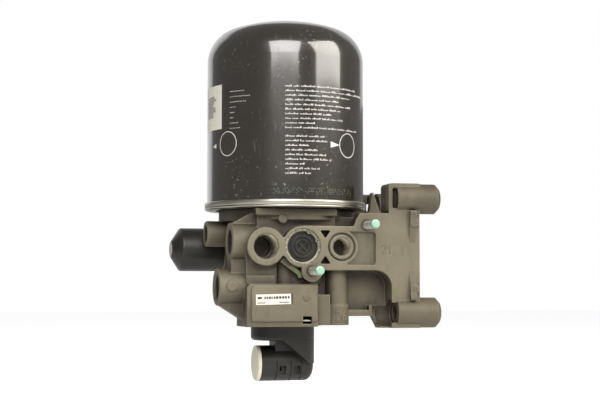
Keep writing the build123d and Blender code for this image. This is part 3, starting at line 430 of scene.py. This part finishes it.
def shell_print():
    """Rows of small plain marks, two rings and their pointers, in white."""
    sheet = Sheet()
    chance = random.Random(21)
    first_rows = (72.8, 85.2, 62.8, 48.9, 63.8, 50.7, 41.2, 55.4, 25.3, 74.4)
    second_rows = (34.9, 37.3, 20.3, 28.9, 35.6, 41.2, 16.9, 30.3, 21.9)
    start = 0.8
    for top, rows in ((100.4, first_rows), (59.0, second_rows)):
        for number, length in enumerate(rows):
            arc = start
            left_in_word = chance.randint(3, 9)
            while arc < start + length - 1.0:
                mark = chance.uniform(0.5, 1.05)
                tall = chance.choice((0.7, 0.95, 1.5))
                shell_patch(sheet, arc, top - 3.82 * number + (tall - 0.9) / 2, mark, tall)
                left_in_word -= 1
                arc += mark + 0.55
                if left_in_word == 0:
                    arc += 1.0
                    left_in_word = chance.randint(3, 9)
    shell_ring(sheet, 60.5, 53.5, 10.4, 0.65)
    shell_triangle(sheet, 40.6, 53.2, 9.6, 5.2)
    shell_ring(sheet, -53.0, 54.7, 10.4, 0.65)
    shell_triangle(sheet, -69.5, 53.8, -6.0, 4.0)
    for number, length in enumerate((14.0, 20.0, 17.0, 5.0, 5.0, 4.0, 9.0, 12.0)):
        arc = -50.0
        while arc < -50.0 + length:
            shell_patch(sheet, arc, 98.0 - 4.4 * number, 0.7, 0.6)
            arc += chance.uniform(1.2, 2.0)
    return piece("shell_print", sheet.vertices, sheet.faces, WHITE_INK, smooth=False)


def shell_label():
    """Pale label at the left of the shell, with a plain grey spot."""
    sheet = Sheet()
    shell_patch(sheet, -100.0, 86.5, 39.0, 37.5)
    piece("shell_label", sheet.vertices, sheet.faces, LABEL_STOCK, smooth=False)
    spot = Sheet()
    for number in range(8):
        shell_patch(spot, -90.0, 95.5 - 2.3 * number, 17.0 + 3.0 * math.sin(number * 1.7), 2.2)
    for vertex in spot.vertices:
        outward = Vector((vertex.x - AXIS_X, vertex.y - AXIS_Y, 0)).normalized()
        vertex += outward * 0.06 * MM
    piece("shell_label_marks", spot.vertices, spot.faces, LABEL_GREY, smooth=False)


def dot_stamp():
    """Faint row of printer dots near the foot of the shell."""
    sheet = Sheet()
    chance = random.Random(7)
    for column in range(48):
        for row in range(4):
            if chance.random() < 0.42:
                shell_patch(sheet, -9.0 + column * 1.55, 16.2 - row * 1.35, 0.85, 0.75)
    piece("dot_stamp", sheet.vertices, sheet.faces, STAMP_INK, smooth=False)


def stud_thread(node):
    """Threaded stud with the form of its CAD bar."""
    low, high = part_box(node)
    x, z = (low[0] + high[0]) / 2, (low[2] + high[2]) / 2
    crest, root, pitch = 3.85, 3.42, 1.25
    around, per_pitch = 36, 6
    length = (high[1] - low[1]) / MM
    rows = int(length / pitch * per_pitch)
    vertices = []
    for row in range(rows + 1):
        along = length * row / rows
        fade = min(1.0, along / 1.6)
        for step in range(around):
            wave = (along / pitch + step / around) % 1.0
            tooth = 1.0 - abs(2.0 * wave - 1.0)
            radius = (root + (crest - root) * min(1.0, tooth * 1.35)) * (0.80 + 0.20 * fade)
            angle = 2 * math.pi * step / around
            vertices.append((
                x + radius * MM * math.cos(angle), low[1] + along * MM, z + radius * MM * math.sin(angle)))
    faces = [tuple(reversed(f)) for f in grid_faces(rows + 1, around, True)]
    faces.append(tuple(range(around)))
    faces.append(tuple(reversed(range(rows * around, (rows + 1) * around))))
    faces = [tuple(reversed(f)) for f in faces]
    made = piece(node + "_thread", vertices, faces, MATERIALS["zinc_white"])
    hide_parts(node)
    return x, z, low[1]


def paint_cap(name, x, z, tip, depth):
    """Green paint over the end of a stud, with an uneven edge."""
    chance = random.Random(name)
    around = 36
    vertices = []
    rings = ((-0.10, 0.01), (-0.10, 2.6), (0.15, 3.2), (0.8, 3.68), (1.6, 3.88), (depth, 3.89), (depth, 3.4))
    for along, radius in rings:
        for step in range(around):
            angle = 2 * math.pi * step / around
            run = along
            if along >= depth:
                run += 0.5 * math.sin(angle * 2 + 1.3) + chance.uniform(-0.15, 0.15)
            vertices.append((x + radius * MM * math.cos(angle), tip + run * MM, z + radius * MM * math.sin(angle)))
    faces = grid_faces(len(rings), around, True)
    piece(name, vertices, faces, GREEN_PAINT)


def inner_thread(name, mouth, along, radius, depth, material=PAINTED_BORE_SHADE, pitch=1.5):
    """Thread inside a port: a thin sleeve whose crests stand inside the bore; by default it is painted dark, as
    painted shade in the bore.
    """
    along = Vector(along)
    side = along.orthogonal().normalized()
    up = along.cross(side)
    around, per_pitch = 56, 6
    rows = int(depth / pitch * per_pitch)
    vertices = []
    for row in range(rows + 1):
        run = depth * row / rows
        for step in range(around):
            wave = (run / pitch + step / around) % 1.0
            tooth = 1.0 - abs(2.0 * wave - 1.0)
            r = radius - 0.02 - 0.62 * tooth * min(1.0, run / 1.0)
            angle = 2 * math.pi * step / around
            vertices.append(mouth + (along * run + side * r * math.cos(angle) + up * r * math.sin(angle)) * MM)
    faces = grid_faces(rows + 1, around, True)
    piece(name, vertices, faces, material)


def front_label():
    """Small white label on the front block, with a dark strip at its right end."""
    left, right, low, high = -39.9, -10.4, -79.0, -70.5
    tilt = math.radians(1.5)
    middle_x, middle_z = (left + right) / 2, (low + high) / 2

    def tilted(x, z, y):
        dx, dz = x - middle_x, z - middle_z
        return here(
            middle_x + dx * math.cos(tilt) - dz * math.sin(tilt), y,
            middle_z + dx * math.sin(tilt) + dz * math.cos(tilt))

    def patch(sheet, x0, x1, z0, z1, back, front):
        corners = [(x0, z0), (x1, z0), (x0, z1), (x1, z1)]
        sheet.slab([tilted(x, z, back) for x, z in corners], [tilted(x, z, front) for x, z in corners], 2)

    plate = Sheet()
    patch(plate, left, right, low, high, FACE_Y, FACE_Y - 0.18)
    piece("front_label", plate.vertices, plate.faces, LABEL_STOCK, smooth=False)
    marks = Sheet()
    chance = random.Random(3)
    x = left + 7.0
    while x < right - 2.5:
        width = chance.uniform(0.9, 2.2)
        patch(marks, x, x + width, low + 4.6, low + 6.6, FACE_Y - 0.15, FACE_Y - 0.22)
        x += width + chance.uniform(0.45, 0.8)
    for x0, x1 in ((left + 1.0, left + 8.0), (right - 10.0, right - 1.6)):
        patch(marks, x0, x1, low + 1.2, low + 1.9, FACE_Y - 0.15, FACE_Y - 0.22)
    patch(marks, left + 1.4, left + 4.9, low + 4.7, low + 6.5, FACE_Y - 0.15, FACE_Y - 0.22)
    patch(marks, right, right + 1.5, low, high, FACE_Y, FACE_Y - 0.15)
    piece("front_label_marks", marks.vertices, marks.faces, DARK_INK, smooth=False)


def number(name, text, x, z, y, height, width=1.0, turn=0.0):
    """Raised port number on the casting, turned about the vertical by some degrees."""
    curve = bpy.data.curves.new(name, "FONT")
    curve.body = text
    curve.size = height * 1.38 * MM
    curve.extrude = 0.35 * MM
    curve.bevel_depth = 0.12 * MM
    curve.bevel_resolution = 1
    curve.align_x = "CENTER"
    curve.align_y = "CENTER"
    made = bpy.data.objects.new(name, curve)
    bpy.context.scene.collection.objects.link(made)
    made.scale = (width, 1.0, 1.0)
    made.rotation_euler = (math.radians(90), 0, math.radians(turn))
    made.location = here(x, y, z)
    curve.materials.append(MATERIALS["cast_alloy"])
    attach(made, BODY)


def smear(name, material, points, y, lift=0.1):
    """Flat paint mark on the front face, from its outline."""
    low = [here(x, y, z) for x, z in points]
    high = [here(x, y - lift, z) for x, z in points]
    count = len(points)
    faces = [tuple(range(count, 2 * count)), tuple(reversed(range(count)))]
    for i in range(count):
        j = (i + 1) % count
        faces.append((j, i, i + count, j + count))
    piece(name, low + high, faces, material, smooth=False)


def turned(name, profile, place, material, steps=48):
    """Closed ring or disc turned about an axis; place gives a point from turn, radius and run."""
    vertices, faces = [], []
    for radius, run in profile:
        for step in range(steps):
            vertices.append(place(2 * math.pi * step / steps, radius, run))
    count = len(profile)
    for row in range(count):
        after = (row + 1) % count
        for step in range(steps):
            side = (step + 1) % steps
            faces.append((row * steps + step, row * steps + side, after * steps + side, after * steps + step))
    made = piece(name, vertices, faces, material)
    tidy_normals(made)
    return made


def tidy_normals(made):
    """Faces turned outward, and sharp corners kept crisp."""
    mesh = made.data
    work = bmesh.new()
    work.from_mesh(mesh)
    bmesh.ops.remove_doubles(work, verts=work.verts, dist=0.000002)
    bmesh.ops.recalc_face_normals(work, faces=work.faces)
    work.to_mesh(mesh)
    work.free()
    mesh.set_sharp_from_angle(angle=math.radians(38))


def seam():
    """Rolled ring at the foot of the shell: bright band, groove and curled lower edge."""
    profile = [
        (67.46, 7.2), (68.6, 7.4), (69.3, 7.15), (69.65, 6.6), (69.7, 5.6), (69.7, 3.7), (69.5, 3.2), (69.1, 3.0),
        (69.1, 2.7), (69.45, 2.5), (69.6, 2.1), (69.3, 1.5), (68.7, 1.05), (67.9, 0.8), (60.0, 0.8), (60.0, 3.0),
        (67.46, 3.0)]
    made = turned(
        "rolled_seam", profile, lambda turn, r, z: here(r * math.cos(turn), r * math.sin(turn), z),
        MATERIALS["bright_zinc"], 144)
    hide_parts("seam_ring")


def front_disc(name, x, z, radius, back, front):
    """Round cast boss that stands on the front."""
    profile = [(0.01, back), (radius, back), (radius, front + 0.7), (radius - 0.25, front + 0.25),
               (radius - 0.8, front), (0.01, front)]
    turned(
        name, profile, lambda turn, r, y: here(x + r * math.cos(turn), y, z + r * math.sin(turn)),
        MATERIALS["cast_alloy"])


def plate_shape(name, outline, back, front):
    """Flat cast web from its outline in X and Z, between two depths."""
    count = len(outline)
    vertices = [here(x, back, z) for x, z in outline] + [here(x, front, z) for x, z in outline]
    faces = [tuple(range(count)), tuple(range(2 * count - 1, count - 1, -1))]
    for i in range(count):
        j = (i + 1) % count
        faces.append((i, j, j + count, i + count))
    made = piece(name, vertices, faces, MATERIALS["cast_alloy"])
    tidy_normals(made)


def ear_groove():
    """Soft hollow between the ear and its upper boss."""
    left, right, low, high = 73.4, 82.3, -1.0, 20.6
    back, front = [], []
    columns = 9
    for z in (low, low + 3.0, high - 3.0, high):
        for column in range(columns):
            part = column / (columns - 1)
            x = left + (right - left) * part
            back.append(here(x, FACE_Y + 10.0, z))
            front.append(here(x, FACE_Y + 1.6 + 4.0 * math.sin(math.pi * part), z))
    sheet = Sheet()
    sheet.slab(back, front, columns)
    made = piece("ear_groove", sheet.vertices, sheet.faces, MATERIALS["cast_alloy"])
    tidy_normals(made)


def wire_bar():
    """Bright wire that lies across the slot of the front block."""
    made = turned(
        "lock_wire_bar", [(0.01, -1.6), (0.9, -1.6), (0.9, 8.6), (0.01, 8.6)],
        lambda turn, r, x: here(x, -57.0 + r * math.cos(turn), -92.2 + r * math.sin(turn)),
        MATERIALS["spring_steel"], 20)
    return made


def cover_rim():
    """Bright turned rim between the black cover and its snap ring."""
    profile = [(12.9, -57.2), (15.72, -57.2), (15.72, -58.5), (15.2, -58.7), (13.3, -58.15), (12.9, -57.9)]
    turned(
        "cover_rim", profile, lambda turn, r, y: here(r * math.cos(turn), y, -31.5 + r * math.sin(turn)),
        RIM_ALLOY, 96)


def coil(node):
    """Copy of a CAD spring that rides on the body, with the CAD spring hidden."""
    source = frame["nodes"][node]
    made = bpy.data.objects.new(node + "_coil", source.data.copy())
    bpy.context.scene.collection.objects.link(made)
    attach(made, BODY)
    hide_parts(node)
    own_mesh(made)


coil("check_valve_spring")
coil("governor_spring")
coil("purge_spring")
seam()
cover_rim()
front_disc("pin_boss", -16.3, -8.3, 4.06, -46.0, -56.6)
front_disc("cast_mark", 3.0, -73.1, 4.0, FACE_Y + 1.0, FACE_Y - 0.25)
plate_shape("diagonal_web", [
    (-16.0, -40.5), (-12.4, -41.2), (1.1, -54.3), (4.0, -57.0), (-2.0, -57.5), (-3.9, -54.8), (-18.8, -43.9)], -48.0, -56.0)
plate_shape("rear_gusset", [
    (92.0, -8.0), (92.6, 4.6), (93.7, 5.1), (96.1, 22.3), (97.5, 22.3), (103.4, 5.1), (109.0, 4.6), (109.0, -8.0)],
    60.0, 53.0)
plate_shape("rear_gusset_foot", [(100.0, -8.0), (100.0, 4.0), (108.0, 4.0), (108.0, -8.0)], 74.0, 59.0)
ear_groove()
wire_bar()
shell_print()
shell_label()
dot_stamp()
for stud_node in ("upper_stud", "lower_stud"):
    stud_x, stud_z, stud_tip = stud_thread(stud_node)
    paint_cap(stud_node + "_paint", stud_x, stud_z, stud_tip, 3.2)
inner_thread("thread_front_large", here(-31.3, FACE_Y + 0.9, -31.5), (0, 1, 0), 10.3, 18.0, MACHINED)
inner_thread("thread_front_small", here(33.0, FACE_Y + 0.5, -31.5), (0, 1, 0), 7.3, 16.0, MACHINED)
# These four threads take the default dark paint, painted shade in their bores.
inner_thread("thread_left_large", here(-57.1, -39.0, -27.3), (1, 0, 0), 10.3, 12.0)
inner_thread("thread_inlet", here(-66.4, -35.0, -64.8), (1, 0, 0), 10.3, 18.0)
inner_thread("thread_pilot", here(-69.4, 1.5, -19.4), (1, 0, 0), 7.3, 13.0)
inner_thread("thread_bottom", here(32.2, -45.0, -96.0), (0, 0, 1), 6.3, 13.0)
front_label()
number("port_number_21", "21", 72.6, -33.4, FACE_Y + 0.30, 8.2, 0.85)
PILLAR_X, PILLAR_Y, PILLAR_FOOT_R = 32.2, -45.0, 10.8
for digit, spot_x in (("2", 31.4), ("6", 36.6)):
    lean = math.asin((spot_x - PILLAR_X) / PILLAR_FOOT_R)
    spot_y = PILLAR_Y - (PILLAR_FOOT_R - 0.27) * math.cos(lean)
    number("port_number_26_" + digit, digit, spot_x, -89.0, spot_y, 9.0, 0.85, math.degrees(lean))
smear("green_mark", GREEN_SMEAR, [
    (-11.5, -47.0), (-7.5, -47.8), (-4.0, -50.5), (-1.0, -53.0), (-0.6, -56.5), (-3.2, -57.2),
    (-4.2, -53.6), (-8.0, -50.2)], -56.02)
smear("yellow_mark", GREEN_SMEAR, [(78.5, -66.5), (80.5, -65.5), (81.5, -68.5), (80.2, -70.5), (78.3, -69.5)], FACE_Y)


# Floor, light and camera

def stage_material(name, camera_level, body_level):
    """Pale surface: plain white to the camera, soft shadow kept, pale in reflections."""
    s = Shader(name)
    s.set(Base_Color=(body_level, body_level, body_level, 1.0), Roughness=1.0)
    glow = s.add("ShaderNodeEmission", {"Color": (1, 1, 1, 1), "Strength": camera_level})
    path = s.add("ShaderNodeLightPath")
    both = s.add("ShaderNodeAddShader", {0: s.surface.outputs[0], 1: glow.outputs[0]})
    blend = s.add("ShaderNodeMixShader", {
        0: path.outputs["Is Camera Ray"], 1: s.surface.outputs[0], 2: both.outputs[0]})
    s.tree.links.new(blend.outputs[0], s.output.inputs[0])
    return s.material


FLOOR_DROP = 50.0
floor_z = cad_box[0][2] - FLOOR_DROP * MM
bpy.ops.mesh.primitive_plane_add(size=14, location=(AXIS_X, AXIS_Y, floor_z))
floor = bpy.context.object
floor.name = "floor"
floor.data.materials.append(stage_material("pale_floor", 0.74, 0.82))

world = bpy.data.worlds.new("studio")
bpy.context.scene.world = world
world.use_nodes = True
tree = world.node_tree
tree.nodes.clear()
out = tree.nodes.new("ShaderNodeOutputWorld")
path = tree.nodes.new("ShaderNodeLightPath")
seen = tree.nodes.new("ShaderNodeMath")
seen.operation = "MAXIMUM"
tree.links.new(path.outputs["Is Camera Ray"], seen.inputs[0])
tree.links.new(path.outputs["Is Transmission Ray"], seen.inputs[1])
shine = tree.nodes.new("ShaderNodeMix")
shine.data_type = "FLOAT"
AMBIENT = 0.27
MIRRORED = 0.20
shine.inputs[2].default_value = AMBIENT
shine.inputs[3].default_value = MIRRORED
tree.links.new(path.outputs["Is Glossy Ray"], shine.inputs[0])
level = tree.nodes.new("ShaderNodeMix")
level.data_type = "FLOAT"
level.inputs[3].default_value = 1.0
tree.links.new(seen.outputs[0], level.inputs[0])
tree.links.new(shine.outputs[0], level.inputs[2])
sky = tree.nodes.new("ShaderNodeBackground")
sky.inputs["Color"].default_value = (1, 1, 1, 1)
tree.links.new(level.outputs[0], sky.inputs["Strength"])
tree.links.new(sky.outputs[0], out.inputs[0])


def softbox(name, turn, distance, low, high, width, power, colour=(1.0, 1.0, 1.0)):
    """Upright light panel, turned from the camera's side of the cartridge axis."""
    angle = math.radians(-90 - VIEW_TURN + turn)
    lamp = bpy.data.lights.new(name, "AREA")
    lamp.shape = "RECTANGLE"
    lamp.size = width
    lamp.size_y = high - low
    lamp.energy = power
    lamp.color = colour
    made = bpy.data.objects.new(name, lamp)
    bpy.context.scene.collection.objects.link(made)
    made.location = Vector((
        AXIS_X + distance * math.cos(angle), AXIS_Y + distance * math.sin(angle), SEAT_Z + (low + high) / 2))
    toward = Vector((AXIS_X, AXIS_Y, SEAT_Z + 0.05)) - made.location
    made.rotation_euler = toward.to_track_quat("-Z", "Y").to_euler()


softbox("front_softbox", 0.0, 1.5, 0.34, 1.50, 1.25, 32.0, (1.0, 0.98, 0.965))
softbox("right_softbox", 66.0, 1.5, 0.30, 1.40, 1.30, 28.0, (1.0, 0.96, 0.89))
softbox("left_softbox", -150.0, 1.6, 0.00, 1.30, 1.00, 3.0)
softbox("back_softbox", 165.0, 1.8, 0.30, 1.60, 1.60, 3.5)

camera = bpy.data.cameras.new("camera")
camera_object = bpy.data.objects.new("camera", camera)
bpy.context.scene.collection.objects.link(camera_object)
bpy.context.scene.camera = camera_object
camera.sensor_width = 36.0
camera.lens = 83.24
camera.clip_start = 0.05
camera.clip_end = 50.0
camera_object.location = here(-298.2, -1162.4, -67.3)
aim = here(12.36, -3.31, 10.7) - camera_object.location
camera_object.rotation_euler = aim.to_track_quat("-Z", "Y").to_euler()

bpy.context.scene.view_settings.view_transform = "Standard"
